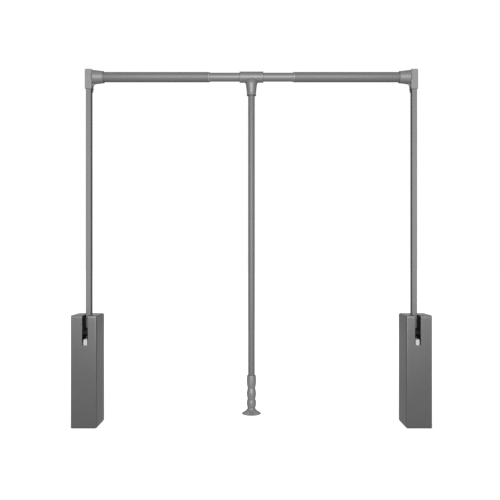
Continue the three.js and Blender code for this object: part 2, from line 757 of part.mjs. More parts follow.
function sideGroup(name, sign) {
  const side = new THREE.Group();
  side.position.x = sign * armAxis;
  const arm = new THREE.Group();
  arm.position.z = pivotHeight;
  const rail = new THREE.Group();
  rail.position.z = railHeight - pivotHeight;
  side.add(arm);
  arm.add(rail);
  const put = (group, piece, geometry, finish) => {
    add(group, `${name}_${piece}`, sign > 0 ? geometry : mirrored(geometry), finish);
  };

  put(side, 'chassis', chassisGeometry(), 'steel');
  put(side, 'cover', coverGeometry(), 'shell');
  coverScrewHeights.forEach((height, index) => {
    put(side, `cover_screw_${index + 1}`, coverScrewGeometry(height), 'screw');
  });
  put(side, 'pivot_pin', pivotPinGeometry(), 'steel');
  put(side, 'inner_spacer', spacerGeometry(flangeInner + seatGap, -footHalf - seatGap), 'bush');
  put(side, 'outer_spacer', spacerGeometry(footHalf + seatGap, plateInner - seatGap), 'bush');
  put(side, 'buffer', bufferGeometry(), 'nylon');
  put(side, 'buffer_pin', rod(bufferPinRadius, flangeOuter, wallToArm - pinEndSetback, 'x')
    .translate(0, -bufferPinOffset, bufferPinHeight), 'steel');
  put(side, 'spring_bridge', bridgeGeometry(), 'steel');
  put(side, 'stop_washer', washerGeometry(stopWasherRadius, bridgeTop + seatGap, crossBottom - seatGap), 'rubber');
  const spring = springGeometry();
  put(side, 'lift_spring', spring, 'spring');
  put(side, 'draw_bar', drawBarGeometry(), 'steel');
  put(side, 'spring_washer', washerGeometry(springWasherRadius, springWasherBottom, springWasherTop), 'steel');
  put(side, 'draw_nut', nutGeometry(), 'steel');

  put(arm, 'arm_foot', footGeometry(), 'dipCoat');
  put(arm, 'crank_pin', crankPinGeometry(), 'steel');
  rivetHeights.forEach((height, index) => {
    put(arm, `foot_rivet_${index + 1}`, rod(rivetRadius, -armWidth / 2, armWidth / 2, 'x')
      .translate(0, 0, height), 'steel');
  });
  put(arm, 'arm_tube', armTubeGeometry(), 'tube');

  put(rail, 'elbow', elbowGeometry(), 'casting');
  put(rail, 'elbow_screw', elbowScrewGeometry(), 'screw');
  put(rail, 'outer_rail', outerRailGeometry(), 'tube');
  put(rail, 'rail_end_ring', endRingGeometry(), 'grip');
  console.log(`${name} lift spring: least gap between turns ${springSelfGap(spring).toFixed(2)} mm`);
  return side;
}

function handleGroup() {
  const handle = new THREE.Group();
  handle.position.z = railHeight;
  add(handle, 'inner_rail', ring(innerRailRadius - railWall, innerRailRadius, -innerRailHalf, innerRailHalf, 'x'),
    'rail');
  add(handle, 'locating_collar', ring(bushInner, bushOuter, -locatingHalf, locatingHalf, 'x'), 'bush');
  add(handle, 't_connector', teeGeometry(), 'casting');
  for (const [name, sign] of [['left', -1], ['right', 1]]) {
    const bush = ring(bushInner, bushOuter, locatingHalf + seatGap, teeHalf - seatGap, 'x');
    add(handle, `${name}_swivel_bush`, sign > 0 ? bush : mirrored(bush), 'bush');
  }
  add(handle, 'pull_rod', pullRodGeometry(), 'tube');
  add(handle, 'handle_screw', handleScrewGeometry(), 'screw');
  add(handle, 'grip', gripGeometry(), 'grip');
  return handle;
}

const pullDownRail = new THREE.Group();
pullDownRail.add(sideGroup('left', -1), handleGroup(), sideGroup('right', 1));

export default pullDownRail;
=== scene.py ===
"""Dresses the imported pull-down wardrobe rail: mouldings, castings, tubes, springs, fasteners and stage."""

import math

import bmesh
import bpy
from mathutils import Matrix, Vector


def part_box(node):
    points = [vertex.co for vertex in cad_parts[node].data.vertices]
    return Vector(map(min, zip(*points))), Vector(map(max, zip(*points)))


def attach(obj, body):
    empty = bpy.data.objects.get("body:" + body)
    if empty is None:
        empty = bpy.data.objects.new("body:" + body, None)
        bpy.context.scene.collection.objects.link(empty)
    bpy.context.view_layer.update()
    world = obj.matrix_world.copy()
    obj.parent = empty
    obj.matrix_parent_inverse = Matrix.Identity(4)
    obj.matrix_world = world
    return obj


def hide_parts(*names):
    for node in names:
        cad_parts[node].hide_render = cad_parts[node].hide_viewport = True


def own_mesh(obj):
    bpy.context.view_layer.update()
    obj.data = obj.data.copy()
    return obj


bl_info = {
    "name": "Pull-Down Wardrobe Rail",
    "version": (1, 0, 0),
    "blender": (4, 5, 0),
    "location": "View3D > Sidebar > Wardrobe Rail",
    "description": "Housings, arms, castings, rails, handle and fasteners of a pull-down wardrobe rail",
    "category": "Add Mesh",
}

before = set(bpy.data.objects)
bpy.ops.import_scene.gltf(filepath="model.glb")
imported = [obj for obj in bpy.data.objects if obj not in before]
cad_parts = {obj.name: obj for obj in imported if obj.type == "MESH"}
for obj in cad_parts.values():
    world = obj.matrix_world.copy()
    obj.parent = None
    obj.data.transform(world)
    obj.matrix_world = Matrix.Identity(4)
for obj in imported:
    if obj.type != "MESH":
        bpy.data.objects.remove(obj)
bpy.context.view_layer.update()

MM = 0.001
# How far a cutting tool reaches past the piece that it cuts
OVERRUN = 10 * MM
QUARTER = math.pi / 2
SIDES = (("left", -1), ("right", 1))
# The hanging rail's axis crosses the arms' axes at this height
RAIL_HEIGHT = 0.85
ARM_AXIS = sum(corner.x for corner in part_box("right_arm_tube")) / 2
RAIL_CENTRE = Vector((0, 0, RAIL_HEIGHT))


# Sizes and colours a user would change

def linear(code):
    """An sRGB hex colour as linear red, green and blue."""
    parts = [int(code[i:i + 2], 16) / 255 for i in (1, 3, 5)]
    return tuple(c / 12.92 if c <= 0.04045 else ((c + 0.055) / 1.055) ** 2.4 for c in parts)


def length(name, words, millimetres):
    """A length as a property."""
    return bpy.props.FloatProperty(name=name, description=words, default=millimetres * MM, unit="LENGTH",
                                   precision=5, min=0.0)


def power(name, words, watts):
    """A lamp's power as a property."""
    return bpy.props.FloatProperty(name=name, description=words, default=watts, unit="POWER")


def colour(name, words, code):
    """A colour as a property."""
    return bpy.props.FloatVectorProperty(name=name, description=words, default=linear(code),
                                         subtype="COLOR", size=3, min=0.0, max=1.0)


class RAIL_PG_housing(bpy.types.PropertyGroup):
    """Sizes of the moulded covers, the buffers and the lift springs."""

    edge: length("Outer Edge", "Rounding of the cover's outer edges", 4.5)
    ramp_height: length("Ramp Height", "How far below the top the front starts to lean back", 6.2)
    ramp_depth: length("Ramp Depth", "How far the front has leant back at the top", 1.7)
    wall: length("Wall", "Thickness of the moulded cover", 2.0)
    lip: length("Lip", "Rounding of the cover's thin edges round the slot and rim", 0.35)
    slot_width: length("Slot Width", "Width of the slot the arm swings through", 13.7)
    slot_floor: length("Slot Floor", "Height of the slot's lower end", 198.5)
    slot_corner: length("Slot Corner", "Rounding of the slot's lower corners", 4.0)
    slot_back: length("Slot Back", "How far behind the arm's axis the top slot reaches", 10.5)
    screw_bore: length("Screw Bore", "Radius of the cover's screw holes", 2.3)
    screw_sink: length("Screw Sink", "Depth of the countersinks in the cover", 1.7)
    screw_play: length("Screw Play", "Room round a screw's head in its countersink", 0.3)
    buffer_corner: length("Buffer Corner", "Rounding of the nylon buffer's outline", 1.2)
    buffer_edge: length("Buffer Edge", "Rounding of the nylon buffer's edges", 0.8)
    buffer_bore: length("Buffer Bore", "Radius of the hole for the buffer's pin", 2.8)
    coil_radius: length("Coil Radius", "Mean radius of a lift spring", 10.5)
    coil_wire: length("Coil Wire", "Thickness of a lift spring's wire", 3.0)
    coil_turns: bpy.props.FloatProperty(name="Coil Turns", description="Turns of a lift spring",
                                        default=14.0, min=1.0)


class RAIL_PG_frame(bpy.types.PropertyGroup):
    """Sizes of the arms, elbows and hanging rail."""

    arm_corner: length("Arm Corner", "Corner radius of the arm tube", 2.0)
    arm_wall: length("Arm Wall", "Wall of the arm tube", 1.5)
    rivet_play: length("Rivet Play", "Room round a rivet in the arm tube", 0.25)
    rail_wall: length("Rail Wall", "Wall of the round tubes", 1.2)
    tube_edge: length("Tube Edge", "Rounding of a sawn tube end", 0.25)
    ring_bore: length("Ring Bore", "Inner radius of the rail's end rings", 10.8)
    bush_wall: length("Bush Wall", "Thickness of the nylon bushes and collar", 1.0)
    bush_edge: length("Bush Edge", "Rounding of their edges", 0.2)
    casting_grain: length("Casting Mesh", "Mesh size of the cast pieces", 0.4)
    collar_root: length("Collar Root", "Radius of the elbow's collar at the block", 17.0)
    collar_mouth: length("Collar Mouth", "Radius of the elbow's collar at its mouth", 14.6)
    gusset_reach: length("Gusset Reach", "How far the web under the collar reaches from the block", 9.5)
    gusset_rise: length("Gusset Rise", "How far that web rises along the block", 13.5)
    gusset_half: length("Gusset Half", "Half the thickness of that web", 3.0)


class RAIL_PG_handle(bpy.types.PropertyGroup):
    """Sizes of the T connector, pull rod and grip."""

    tee_radius: length("Connector Radius", "Radius of the connector's barrel", 13.2)
    stem_root: length("Stem Root", "Radius of the stem below the barrel", 13.7)
    stem_waist: length("Stem Waist", "Radius of the stem above its lip", 11.0)
    stem_lip: length("Stem Lip", "Radius of the lip at the stem's mouth", 11.3)
    grip_swell: length("Grip Swell", "Radius of the grip's swells", 11.05)
    grip_neck: length("Grip Neck", "Radius of the grip's necks", 9.15)
    grip_foot: length("Grip Foot", "Radius of the grip's foot", 23.1)


class RAIL_PG_finish(bpy.types.PropertyGroup):
    """Colours of the finishes."""

    housing: colour("Housing", "Moulded covers", "#5A5A5A")
    tube: colour("Tube", "Powder-coated tubes", "#707070")
    casting: colour("Casting", "Painted zinc elbows", "#7B7B7B")
    connector: colour("Connector", "Painted zinc T connector", "#787878")
    rail: colour("Inner Rail", "Anodised inner rail", "#777777")
    grip: colour("Grip", "Moulded grip and end rings", "#7E7E7E")
    zinc: colour("Zinc Plating", "Plated pins, bars and washers", "#B9BABC")
    # Painted shade: a dark grey for the plated channels, so they look shadowed through the slots
    dark_zinc: colour("Dark Zinc", "Channels inside the housings", "#47484A")
    wire: colour("Spring Wire", "Oiled spring wire", "#8A8A8C")
    nylon: colour("Natural Nylon", "Buffers", "#BABAB7")
    bush: colour("Dark Nylon", "Bushes and pivot spacers", "#303030")
    # Painted shade: a near-black for the arm feet, so they look shadowed in the slots
    dip_coat: colour("Dip Coat", "Arm feet", "#2A2A2A")
    rubber: colour("Rubber", "Stop washers", "#222222")
    oxide: colour("Black Oxide", "Screws", "#4A4A4A")


class RAIL_PG_stage(bpy.types.PropertyGroup):
    """The camera's place and the light."""

    camera_distance: length("Camera Distance", "From the camera to the arms' plane", 1549)
    camera_height: length("Camera Height", "Height of the level camera", 397)
    key_power: power("Key Power", "Power of the front lamp", 54.0)
    back_power: power("Back Power", "Power of the lamp behind", 46.0)
    ambient: bpy.props.FloatProperty(name="Ambient", description="Even light from all round", default=0.26,
                                     min=0.0, max=1.0)


# Mesh tools

def middle(node):
    """The middle of a CAD node's box."""
    low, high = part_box(node)
    return (low + high) / 2


def placed(name, data):
    """A new object in the scene that holds a mesh, a lamp or a camera."""
    made = bpy.data.objects.new(name, data)
    bpy.context.scene.collection.objects.link(made)
    return made


def outward(obj):
    """Merges doubles and turns the faces outwards."""
    shape = bmesh.new()
    shape.from_mesh(obj.data)
    bmesh.ops.remove_doubles(shape, verts=shape.verts, dist=1e-7)
    bmesh.ops.recalc_face_normals(shape, faces=shape.faces)
    shape.to_mesh(obj.data)
    shape.free()
    return obj


def mesh_piece(name, points, faces):
    """A new object from points and faces, with its place in its mesh."""
    mesh = bpy.data.meshes.new(name)
    mesh.from_pydata([tuple(p) for p in points], [], faces)
    return outward(placed(name, mesh))


def along(axis, across, up, place):
    """A point from its two outline values and its place along an axis."""
    return {"x": (place, across, up), "y": (across, place, up), "z": (across, up, place)}[axis]


def turned(name, profile, axis, steps=64):
    """Turns (radius, place) points about an axis; the profile ends on the axis or closes on itself."""
    points, rings, faces = [], [], []
    for radius, place in profile:
        count = steps if radius > 0 else 1
        rings.append([len(points) + step for step in range(count)])
        for step in range(count):
            angle = 2 * math.pi * step / steps
            points.append(along(axis, radius * math.cos(angle), radius * math.sin(angle), place))
    pairs = list(zip(rings, rings[1:]))
    if profile[0][0] > 0:
        pairs.append((rings[-1], rings[0]))
    for a, b in pairs:
        for step in range(steps):
            after = (step + 1) % steps
            corners = [a[step % len(a)], a[after % len(a)], b[after % len(b)], b[step % len(b)]]
            faces.append(list(dict.fromkeys(corners)))
    return mesh_piece(name, points, faces)


def bar(name, radius, low, high, axis, steps=32):
    """A round bar between two places along an axis, to cut a hole with."""
    return turned(name, [(0, low), (radius, low), (radius, high), (0, high)], axis, steps)


def prism(name, outline, low, high, axis, hole=None):
    """An outline made solid between two places along an axis; a hole has as many points as the outline."""
    loops = [outline] + ([hole] if hole else [])
    count = len(outline)
    points = [along(axis, u, v, place) for loop in loops for place in (low, high) for u, v in loop]
    faces = []
    for start in range(0, len(loops) * 2 * count, 2 * count):
        for i in range(count):
            after = (i + 1) % count
            faces.append([start + i, start + after, start + count + after, start + count + i])
    for end in (0, count):
        if hole:
            inner = end + 2 * count
            faces += [[end + i, end + (i + 1) % count, inner + (i + 1) % count, inner + i]
                      for i in range(count)]
        else:
            faces.append([end + i for i in range(count)])
    return mesh_piece(name, points, faces)


def block(name, low, high):
    """A plain box, as a start for bevels and cuts."""
    outline = [(low[0], low[1]), (high[0], low[1]), (high[0], high[1]), (low[0], high[1])]
    return prism(name, outline, low[2], high[2], "z")


def eased(outline, ease, steps=4, closed=True):
    """An outline whose corners are curves that start that far from each corner."""
    made = []
    for i, (x, y) in enumerate(outline):
        if not closed and i in (0, len(outline) - 1):
            made.append((x, y))
            continue
        corner = Vector((x, y))
        before, after = Vector(outline[i - 1]), Vector(outline[(i + 1) % len(outline)])
        # On a short side two curves meet just before its middle
        start = corner + (before - corner).normalized() * min(ease, (before - corner).length / 2.1)
        end = corner + (after - corner).normalized() * min(ease, (after - corner).length / 2.1)
        for step in range(steps + 1):
            t = step / steps
            made.append(tuple(start * (1 - t) ** 2 + corner * 2 * t * (1 - t) + end * t ** 2))
    return made


def smooth_through(points, steps=6):
    """A soft curve through (radius, height) points, end to end."""
    made = []
    for i in range(len(points) - 1):
        p0, p1 = Vector(points[max(i - 1, 0)]), Vector(points[i])
        p2, p3 = Vector(points[i + 1]), Vector(points[min(i + 2, len(points) - 1)])
        for step in range(steps):
            t = step / steps
            made.append(tuple(0.5 * (2 * p1 + (p2 - p0) * t + (2 * p0 - 5 * p1 + 4 * p2 - p3) * t ** 2
                                     + (3 * p1 - p0 - 3 * p2 + p3) * t ** 3)))
    made.append(tuple(points[-1]))
    return made


def round_rectangle(left, low, right, high, radii, steps=6):
    """A rectangle with its own radius at each corner, from the lower left one round."""
    centres = [(left + radii[0], low + radii[0]), (right - radii[1], low + radii[1]),
               (right - radii[2], high - radii[2]), (left + radii[3], high - radii[3])]
    made = []
    for corner, ((x, y), radius) in enumerate(zip(centres, radii)):
        for step in range(steps + 1):
            turn = math.pi + (corner + step / steps) * QUARTER
            made.append((x + radius * math.cos(turn), y + radius * math.sin(turn)))
    return made


def applied(obj):
    """Turns the modifiers' result into the object's own mesh."""
    graph = bpy.context.evaluated_depsgraph_get()
    mesh = bpy.data.meshes.new_from_object(obj.evaluated_get(graph))
    obj.modifiers.clear()
    obj.data = mesh
    return obj


def weighted(obj):
    """Leans the normals on the large faces, so they stay flat between rounded edges."""
    step = obj.modifiers.new("Weigh", "WEIGHTED_NORMAL")
    step.keep_sharp = True
    step.weight = 100
    applied(obj)


def cut(obj, tool):
    """Cuts the tool away from the object and removes the tool."""
    step = obj.modifiers.new("Cut", "BOOLEAN")
    step.operation = "DIFFERENCE"
    step.solver = "EXACT"
    step.object = tool
    applied(obj)
    bpy.data.objects.remove(tool)


def bevelled(obj, width, segments=3, angle=35):
    """Rounds the edges that are sharper than the angle."""
    step = obj.modifiers.new("Bevel", "BEVEL")
    step.width = width
    step.segments = segments
    step.limit_method = "ANGLE"
    step.angle_limit = math.radians(angle)
    return applied(obj)


def cast(parts, grain, rounds):
    """Melts overlapping parts into one body with soft fillets, as a casting has."""
    first = parts[0]
    shape = bmesh.new()
    for part in parts:
        shape.from_mesh(part.data)
    shape.to_mesh(first.data)
    shape.free()
    for part in parts[1:]:
        bpy.data.objects.remove(part)
    melt = first.modifiers.new("Melt", "REMESH")
    melt.mode = "VOXEL"
    melt.voxel_size = grain
    soften = first.modifiers.new("Soften", "SMOOTH")
    soften.factor = 0.5
    soften.iterations = rounds
    return applied(first)


def moved(obj, place):
    """Moves an object's mesh, so that its origin stays where it is."""
    obj.data.transform(Matrix.Translation(place))
    return obj


def mirror_of(obj, name):
    """The same piece on the left side."""
    mesh = obj.data.copy()
    mesh.transform(Matrix.Diagonal((-1, 1, 1, 1)))
    mesh.flip_normals()
    return placed(name, mesh)


# Materials

def add(tree, kind, wires=None, **settings):
    """Adds a node with its settings; a wire is a value or another node's output."""
    made = tree.nodes.new(kind)
    for key, value in settings.items():
        setattr(made, key, value)
    for socket, value in (wires or {}).items():
        if isinstance(value, bpy.types.NodeSocket):
            tree.links.new(value, made.inputs[socket])
        else:
            made.inputs[socket].default_value = value
    return made


def emptied(owner):
    """The node tree of a material or world, with no nodes left in it."""
    owner.use_nodes = True
    owner.node_tree.nodes.clear()
    return owner.node_tree


def surface(name, tone, spread, roughness, grain, blotch, depth=0.01, metallic=0.0, stretch=(1, 1, 1),
            wear=0.0, specular=0.5, rim=1.0, detail=3.0):
    """A finish with a grain that roughens and dents it, and broad blotches that shift its tone."""
    material = bpy.data.materials.new(name)
    tree = emptied(material)
    place = add(tree, "ShaderNodeTexCoord").outputs["Object"]
    lay = add(tree, "ShaderNodeMapping", {"Vector": place, "Scale": stretch}).outputs["Vector"]
    fine = add(tree, "ShaderNodeTexNoise", {
        "Vector": lay, "Scale": 1 / (grain * MM), "Detail": detail, "Roughness": 0.6}).outputs["Fac"]
    broad = add(tree, "ShaderNodeTexNoise", {
        "Vector": place, "Scale": 1 / (blotch * MM), "Detail": 2.0}).outputs["Fac"]
    mixed = add(tree, "ShaderNodeMath", {0: fine, 1: broad}, operation="ADD").outputs[0]
    # The two noises add up to about 1, give or take 0.4
    share = add(tree, "ShaderNodeMapRange", {
        "Value": mixed, "From Min": 0.6, "From Max": 1.4}).outputs["Result"]
    dark = [c * (1 - spread) for c in tone] + [1]
    light = [min(1, c * (1 + spread)) for c in tone] + [1]
    paint = add(tree, "ShaderNodeMix", {"Factor": share, 6: dark, 7: light}, data_type="RGBA").outputs[2]
    smoothest, roughest = roughness - wear - 0.04, roughness + 0.06
    rough = add(tree, "ShaderNodeMapRange", {
        "Value": fine, "To Min": smoothest, "To Max": roughest}).outputs["Result"]
    dent = add(tree, "ShaderNodeBump", {
        "Height": fine, "Strength": 0.6, "Distance": depth * MM}).outputs["Normal"]
    shader = add(tree, "ShaderNodeBsdfPrincipled", {
        "Base Color": paint, "Roughness": rough, "Metallic": metallic, "Normal": dent,
        "Specular IOR Level": specular, "Specular Tint": (rim, rim, rim, 1)})
    add(tree, "ShaderNodeOutputMaterial", {"Surface": shader.outputs[0]})
    return material


# Each finish's look. Its tone is a colour of the panel; grain, depth of the dents and blotch are in mm.
LOOKS = {
    # ABS moulded with a metallic pigment in a finely eroded tool: a soft sheen that fades down the front
    "textured_abs": dict(
        tone="housing", spread=0.04, roughness=0.28, metallic=0.5, grain=0.8, depth=0.02, blotch=60,
        specular=0.4, rim=0.0),
    # Silver powder coat baked on steel tube: orange peel about 2 mm apart with a fine metallic fleck
    "silver_powder_coat": dict(
        tone="tube", spread=0.02, roughness=0.45, metallic=0.28, grain=1.8, depth=0.0015, blotch=90,
        detail=5, specular=0.0, rim=0.0),
    # Zinc die casting under sprayed silver paint: slow ripples from the mould, a smooth sheen
    "painted_zinc_casting": dict(
        tone="casting", spread=0.05, roughness=0.44, metallic=0.3, grain=3.0, depth=0.02, blotch=12,
        specular=0.0, rim=0.0),
    # The same casting tumbled before it is painted: a closer, more silky sheen
    "silky_zinc_casting": dict(
        tone="connector", spread=0.05, roughness=0.42, metallic=0.4, grain=3.0, depth=0.02, blotch=12,
        specular=0.0, rim=0.0),
    # Drawn and anodised aluminium: hairlines along the tube, a clean tight highlight
    "anodised_aluminium": dict(
        tone="rail", spread=0.04, roughness=0.42, metallic=0.42, grain=0.9, depth=0.004, blotch=120,
        stretch=(0.02, 1, 1), specular=0.0, rim=0.0),
    # Polypropylene from a polished tool, worn by hands: soft sheen with faint flow marks
    "moulded_polypropylene": dict(
        tone="grip", spread=0.04, roughness=0.42, metallic=0.35, grain=1.4, blotch=18, wear=0.04,
        specular=0.0, rim=0.0),
    # Bright zinc plating on pressed steel: cloudy passivation with a rolled grain
    "zinc_plated_steel": dict(
        tone="zinc", spread=0.12, roughness=0.36, metallic=0.95, grain=1.2, blotch=9,
        stretch=(1, 1, 0.15)),
    # Zinc-plated pressed steel with a painted shade: darkened so the channels seen through the slots look
    # shadowed; the same rolled grain, smoky and even
    "dark_passivated_zinc": dict(
        tone="dark_zinc", spread=0.12, roughness=0.4, metallic=0.9, grain=1.2, blotch=14,
        stretch=(1, 1, 0.15)),
    # Steel of the arm feet with a painted shade: near-black and even, so the feet in the slots look shadowed
    "dip_coated_steel": dict(
        tone="dip_coat", spread=0.08, roughness=0.5, grain=0.9, blotch=9, specular=0.2),
    # Patented spring wire with a film of oil: drawn lines and a dark wet sheen
    "oiled_spring_wire": dict(
        tone="wire", spread=0.15, roughness=0.3, metallic=0.8, grain=0.8, blotch=6),
    # Natural nylon, moulded: milky, slightly waxy
    "natural_nylon": dict(
        tone="nylon", spread=0.02, roughness=0.42, grain=1.0, depth=0.015, blotch=14, specular=0.3),
    # Black nylon, moulded: the same wax in a dark pigment
    "black_nylon": dict(
        tone="bush", spread=0.06, roughness=0.5, grain=1.0, depth=0.015, blotch=14, specular=0.2),
    # Nitrile rubber, pressed: dull with a talc bloom
    "nitrile_rubber": dict(
        tone="rubber", spread=0.2, roughness=0.75, grain=0.6, depth=0.03, blotch=5, specular=0.2),
    # Black oxide on hardened screws: thin and smoky, steel showing at the wear
    "black_oxide_steel": dict(
        tone="oxide", spread=0.15, roughness=0.42, metallic=0.3, grain=0.7, blotch=4, wear=0.06,
        specular=0.3),
}
FINISHES = {}


def finish(name):
    """The material of a finish, made on first use."""
    if name not in FINISHES:
        look = dict(LOOKS[name])
        tone = getattr(bpy.context.scene.rail_finish, look.pop("tone"))
        FINISHES[name] = surface(name, tone, **look)
    return FINISHES[name]


# Finished pieces

def settle(obj, node_names, body, slot_name, look, angle=35, flat=False):
    """Shades and paints a finished piece, hides the named CAD nodes that it stands for and hangs it on its
    body.
    """
    obj.data.polygons.foreach_set("use_smooth", [True] * len(obj.data.polygons))
    obj.data.set_sharp_from_angle(angle=math.radians(angle))
    if flat:
        weighted(obj)
    obj.data.materials.clear()
    obj.data.materials.append(finish(look))
    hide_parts(*node_names)
    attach(obj, body)


def settle_pair(right, name, body, slot_name, look, **shading):
    """Settles a right piece and its mirrored left one."""
    right.name = f"right_{name}_piece"
    left = mirror_of(right, f"left_{name}_piece")
    for side, piece in (("right", right), ("left", left)):
        settle(piece, [f"{side}_{name}"], f"{side}_{body}", slot_name, look, **shading)
    return left, right


# Housing pieces

class RAIL_OT_covers(bpy.types.Operator):
    """Moulded covers with their arm slots"""

    bl_idname = "rail.covers"
    bl_label = "Housing Covers"

    def execute(self, context):
        size = context.scene.rail_housing
        low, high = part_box("right_cover")
        # The rounded box and its hollow run on past the wall side, where they are cut off square
        past = high.x + 2 * OVERRUN
        shell = bevelled(block("cover", low, (past, high.y, high.z)), size.edge, segments=6)
        above = high.z + size.ramp_height
        lean = [(low.y - size.ramp_depth, high.z - 2 * size.ramp_height),
                (low.y + 2 * size.ramp_depth, above), (low.y - 2 * OVERRUN, above)]
        cut(shell, prism("lean", lean, low.x - OVERRUN, past + 3 * OVERRUN, "x"))
        inner_low = low + Vector((size.wall,) * 3)
        inner_high = (past + OVERRUN, high.y - size.wall, high.z - size.wall)
        inner_edge = size.edge - size.wall * 0.6
        cut(shell, bevelled(block("hollow", inner_low, inner_high), inner_edge, segments=5))
        cut(shell, block("wall_side", (high.x, low.y - OVERRUN, low.z - OVERRUN),
                         (past + 2 * OVERRUN, high.y + OVERRUN, high.z + 3 * OVERRUN)))
        half = size.slot_width / 2
        # The slot is rounded below and square above, where each corner is one point
        slot = dict.fromkeys(round_rectangle(ARM_AXIS - half, size.slot_floor, ARM_AXIS + half,
                                             high.z + OVERRUN, (size.slot_corner, size.slot_corner, 0, 0)))
        cut(shell, prism("slot", list(slot), low.y - OVERRUN, size.slot_back, "y"))
        for number in (1, 2):
            cut(shell, self.countersink(size, f"right_cover_screw_{number}", high.y))
        bevelled(outward(shell), size.lip, segments=2, angle=50)
        settle_pair(shell, "cover", "housing", "housing_plastic", "textured_abs", angle=30, flat=True)
        return {"FINISHED"}

    def countersink(self, size, screw, back):
        """The hole and the cone for one screw's head in the cover's back."""
        low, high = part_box(screw)
        head = (high.x - low.x) / 2 + size.screw_play
        inside, outside = back - OVERRUN, back + OVERRUN
        tool = turned("sink", [
            (0, inside), (size.screw_bore, inside), (size.screw_bore, back - size.screw_sink),
            (head, back), (head, outside), (0, outside)], "y", 32)
        centre = middle(screw)
        return moved(tool, (centre.x, 0, centre.z))


class RAIL_OT_buffers(bpy.types.Operator):
    """White nylon buffers that the lowered arms land on"""

    bl_idname = "rail.buffers"
    bl_label = "Buffers"

    def execute(self, context):
        size = context.scene.rail_housing
        low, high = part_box("right_buffer")
        # The lowered arm lies 5 degrees past level, and the buffer's top with it
        front = high.z - (high.y - low.y) * math.tan(math.radians(5))
        outline = eased([(low.y, low.z), (high.y, low.z), (high.y, high.z), (low.y, front)],
                        size.buffer_corner)
        pad = prism("buffer", outline, low.x, high.x, "x")
        bevelled(pad, size.buffer_edge, segments=3, angle=60)
        pin = middle("right_buffer_pin")
        hole = bar("hole", size.buffer_bore, low.x - OVERRUN, high.x + OVERRUN, "x")
        cut(pad, moved(hole, (0, pin.y, pin.z)))
        settle_pair(pad, "buffer", "housing", "white_nylon", "natural_nylon", angle=30, flat=True)
        return {"FINISHED"}


# Arms, elbows and rails

class RAIL_OT_arms(bpy.types.Operator):
    """Rounded rectangular arm tubes"""

    bl_idname = "rail.arms"
    bl_label = "Arm Tubes"

    def execute(self, context):
        size = context.scene.rail_frame
        low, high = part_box("right_arm_tube")
        wall = size.arm_wall
        outline = round_rectangle(low.x, low.y, high.x, high.y, (size.arm_corner,) * 4)
        bore = round_rectangle(low.x + wall, low.y + wall, high.x - wall, high.y - wall,
                               (size.arm_corner - wall,) * 4)
        tube = prism("arm_tube", outline, low.z, high.z, "z", bore)
        for rivet in ("right_foot_rivet_1", "right_foot_rivet_2"):
            bottom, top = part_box(rivet)
            radius = (top.z - bottom.z) / 2 + size.rivet_play
            centre = middle(rivet)
            hole = bar("hole", radius, low.x - OVERRUN, high.x + OVERRUN, "x")
            cut(tube, moved(hole, (0, centre.y, centre.z)))
        bevelled(tube, size.tube_edge, segments=2, angle=60)
        settle_pair(tube, "arm_tube", "arm", "silver_paint", "silver_powder_coat", angle=30, flat=True)
        return {"FINISHED"}


class RAIL_OT_elbows(bpy.types.Operator):
    """Cast elbows with a tapered collar and a web below it"""

    bl_idname = "rail.elbows"
    bl_label = "Elbow Castings"

    def execute(self, context):
        size = context.scene.rail_frame
        low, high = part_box("right_elbow")
        gap, socket, socket_end = 0.3 * MM, 12.4 * MM, -11 * MM
        half, mouth = high.x - ARM_AXIS, low.x - ARM_AXIS
        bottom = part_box("right_arm_tube")[1].z + gap - RAIL_HEIGHT
        body = self.head(half, bottom, high.z - RAIL_HEIGHT)
        cast([body, self.collar(size, half, mouth), self.gusset(size, half, bottom),
              self.tongue(low.z - RAIL_HEIGHT, bottom)], size.casting_grain, 3)
        cut(body, bar("socket", socket, mouth - OVERRUN, socket_end, "x", 72))
        moved(body, (ARM_AXIS, 0, RAIL_HEIGHT))
        settle_pair(body, "elbow", "arm", "cast_silver", "painted_zinc_casting", angle=40)
        return {"FINISHED"}

    def head(self, half, bottom, top):
        """The block on top of the arm, with its outer upper corner rounded most."""
        corners, depth, edge = (1.8 * MM, 1.8 * MM, 3 * MM, 1.2 * MM), 10 * MM, 1.6 * MM
        outline = round_rectangle(-half, bottom, half, top, corners, 8)
        return bevelled(prism("elbow", outline, -depth, depth, "y"), edge, segments=4, angle=60)

    def collar(self, size, half, mouth):
        """The collar round the rail, which widens from its lip towards the block."""
        lip, inside = 0.5 * MM, -half + 1 * MM
        wide, narrow = size.collar_root, size.collar_mouth
        taper = eased([(narrow - 0.1 * MM, mouth + 3 * MM), (wide - 0.7 * MM, -half - 9 * MM),
                       (wide, -half - 1.8 * MM), (wide - 1.5 * MM, -half), (11 * MM, inside)],
                      1.2 * MM, closed=False)
        return turned("collar", [(0, mouth), (narrow - lip, mouth), (narrow, mouth + lip)] + taper
                      + [(0, inside)], "x", 80)

    def gusset(self, size, half, bottom):
        """The web that fills the corner under the collar, hollow in front and sunk into both."""
        sunk, base, top = 3 * MM, bottom + 1.2 * MM, -9 * MM
        curve = [(-half - size.gusset_reach * (1 - math.cos(t)), base + size.gusset_rise * math.sin(t))
                 for t in [step * QUARTER / 12 for step in range(13)]]
        end = -half - size.gusset_reach - sunk
        outline = ([(-half + sunk, base)] + curve
                   + [(end, base + size.gusset_rise), (end, top), (-half + sunk, top)])
        return prism("gusset", outline, -size.gusset_half, size.gusset_half, "y")

    def tongue(self, low, bottom):
        """The tongue that sits inside the arm tube."""
        across, deep, sunk = 4.5 * MM, 7.25 * MM, 5 * MM
        return block("tongue", (-across, -deep, low), (across, deep, bottom + sunk))


def tube_over(name, node, wall, edge):
    """A round tube along X that fills a node's box."""
    low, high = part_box(node)
    outer, centre = (high.z - low.z) / 2, middle(node)
    profile = eased([(outer - wall, low.x), (outer, low.x), (outer, high.x), (outer - wall, high.x)],
                    edge, steps=3)
    return moved(turned(name, profile, "x", 72), (0, centre.y, centre.z))


